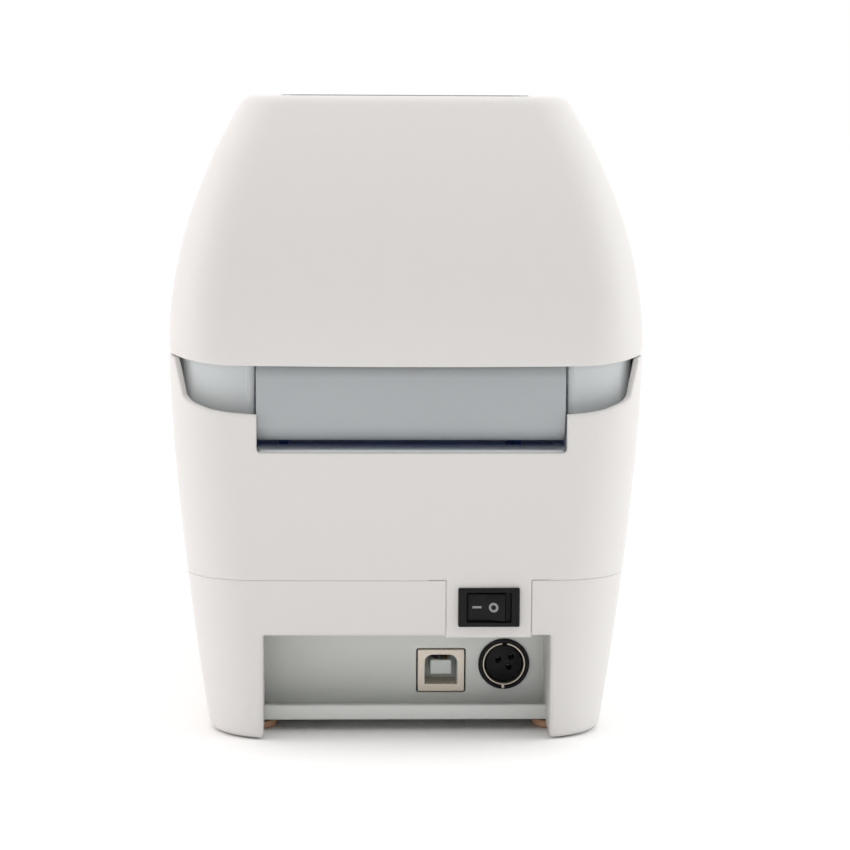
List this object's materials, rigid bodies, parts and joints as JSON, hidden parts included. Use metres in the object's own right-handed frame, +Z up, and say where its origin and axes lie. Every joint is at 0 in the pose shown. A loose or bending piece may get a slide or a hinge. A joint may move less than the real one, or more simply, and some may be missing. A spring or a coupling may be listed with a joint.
{
  "type": "thermal label printer",
  "caption": "Desktop thermal label printer with hinged windowed lid, media bay with sliding guides, geared platen drive, lid-mounted print head and rear connector recess.",
  "frame": {"origin": "on the table, under the centre of the bounding box", "axes": "+X to the printer's left as seen from behind, +Y towards the rear face with the connectors, +Z up"},
  "size_m": [0.123, 0.2019, 0.1612],
  "materials": {
    "white_plastic": "fine-grained warm white moulding",
    "grey_plastic": "fine-grained blue-grey moulding",
    "dark_plastic": "matte",
    "black_plastic": "satin",
    "blue_plastic": "satin",
    "nylon": "natural, slightly waxy",
    "window": "polished blue tint",
    "light_pipe": "frosted",
    "ceramic": "glazed ceramic",
    "circuit_board": "solder mask",
    "cable_jacket": "matte",
    "coated_steel": "satin grey",
    "steel": "zinc-plated",
    "tin_plate": "tin-plated",
    "aluminium": "die-cast",
    "brass": "machined",
    "platen_rubber": "ground",
    "foot_rubber": "moulded"
  },
  "bodies": {
    "base": {"upper_case": "white_plastic", "bottom_case": "white_plastic", "base_plate": "coated_steel", "io_panel": "coated_steel", "front_bezel": "dark_plastic", "tear_bar": "steel", "rear_foot_right": "foot_rubber", "rear_foot_left": "foot_rubber", "front_foot_right": "foot_rubber", "front_foot_left": "foot_rubber", "case_screw_rear_right": "steel", "case_screw_rear_left": "steel", "case_screw_front_right": "steel", "case_screw_front_left": "steel", "media_tray": "grey_plastic", "rack_cover": "dark_plastic", "print_chassis": "steel", "paper_guide": "dark_plastic", "gap_sensor": "circuit_board", "platen_bushing_right": "nylon", "platen_bushing_left": "nylon", "motor_body": "steel", "latch_spring": "steel", "control_board": "circuit_board", "power_light": "light_pipe", "status_light": "light_pipe", "switch_housing": "black_plastic", "main_board": "circuit_board", "capacitor": "black_plastic", "usb_shell": "tin_plate", "usb_insert": "nylon", "power_jack_housing": "black_plastic", "power_jack_shell": "tin_plate", "head_cable_base": "cable_jacket"},
    "lid": {"lid_cover": "white_plastic", "lid_window": "window", "lid_inner_frame": "grey_plastic", "hinge_pin_right": "steel", "hinge_pin_left": "steel", "head_spring_right": "steel", "head_spring_left": "steel", "head_cable_lid": "cable_jacket"},
    "head": {"head_bracket": "aluminium", "print_head": "ceramic"},
    "latch": {"latch_rod": "steel", "latch_lever_right": "blue_plastic", "latch_lever_left": "blue_plastic"},
    "guide_right": {"media_guide_right": "blue_plastic"},
    "guide_left": {"media_guide_left": "blue_plastic"},
    "pinion": {"guide_pinion": "nylon"},
    "hub_right": {"roll_hub_right": "nylon"},
    "hub_left": {"roll_hub_left": "nylon"},
    "platen": {"platen_shaft": "steel", "platen_rubber": "platen_rubber", "platen_gear": "nylon"},
    "reduction": {"reduction_gear": "nylon"},
    "rotor": {"motor_shaft": "steel", "motor_pinion": "brass"},
    "rocker": {"switch_rocker": "black_plastic"},
    "button": {"feed_button": "blue_plastic"}
  },
  "joints": [
    {"name": "lid_hinge", "type": "hinge", "parent": "base", "child": "lid", "pos_m": [0, 0.093, 0.0915], "axis": [-1, 0, 0], "range_deg": [0, 85]},
    {"name": "head_lift", "type": "hinge", "parent": "lid", "child": "head", "pos_m": [0, -0.058, 0.092], "axis": [-1, 0, 0], "range_deg": [0, 3], "deforming": ["head_spring_right", "head_spring_left"]},
    {"name": "latch_release", "type": "hinge", "parent": "base", "child": "latch", "pos_m": [0, -0.05, 0.058], "axis": [1, 0, 0], "range_deg": [-6, 12], "deforming": ["latch_spring"]},
    {"name": "guide_slide_right", "type": "slide", "parent": "base", "child": "guide_right", "axis": [-1, 0, 0], "range_m": [0, 0.02]},
    {"name": "guide_slide_left", "type": "slide", "parent": "base", "child": "guide_left", "axis": [1, 0, 0], "range_m": [0, 0.02]},
    {"name": "pinion_turn", "type": "hinge", "parent": "base", "child": "pinion", "pos_m": [0, 0.015, 0.0219], "axis": [0, 0, 1], "range_deg": [0, 143.3]},
    {"name": "hub_spin_right", "type": "hinge", "parent": "guide_right", "child": "hub_right", "pos_m": [0.0265, 0.015, 0.078], "axis": [1, 0, 0], "continuous": true},
    {"name": "hub_spin_left", "type": "hinge", "parent": "guide_left", "child": "hub_left", "pos_m": [-0.0265, 0.015, 0.078], "axis": [1, 0, 0], "continuous": true},
    {"name": "platen_spin", "type": "hinge", "parent": "base", "child": "platen", "pos_m": [0, -0.076, 0.077], "axis": [1, 0, 0], "continuous": true},
    {"name": "reduction_spin", "type": "hinge", "parent": "base", "child": "reduction", "pos_m": [0.04, -0.068, 0.06314], "axis": [1, 0, 0], "continuous": true},
    {"name": "motor_spin", "type": "hinge", "parent": "base", "child": "rotor", "pos_m": [0.04, -0.07102, 0.04601], "axis": [1, 0, 0], "continuous": true},
    {"name": "rocker_tilt", "type": "hinge", "parent": "base", "child": "rocker", "pos_m": [-0.0204, 0.0958, 0.0342], "axis": [0, 0, 1], "range_deg": [0, 18]},
    {"name": "button_press", "type": "slide", "parent": "base", "child": "button", "axis": [0, 1, 0], "range_m": [0, 0.0008]}
  ],
  "couplings": [
    {"joint": "guide_slide_left", "follows": "guide_slide_right", "ratio": 1},
    {"joint": "pinion_turn", "follows": "guide_slide_right", "rad_per_m": 125},
    {"joint": "reduction_spin", "follows": "platen_spin", "ratio": -1.5},
    {"joint": "motor_spin", "follows": "platen_spin", "ratio": 4.7143}
  ]
}
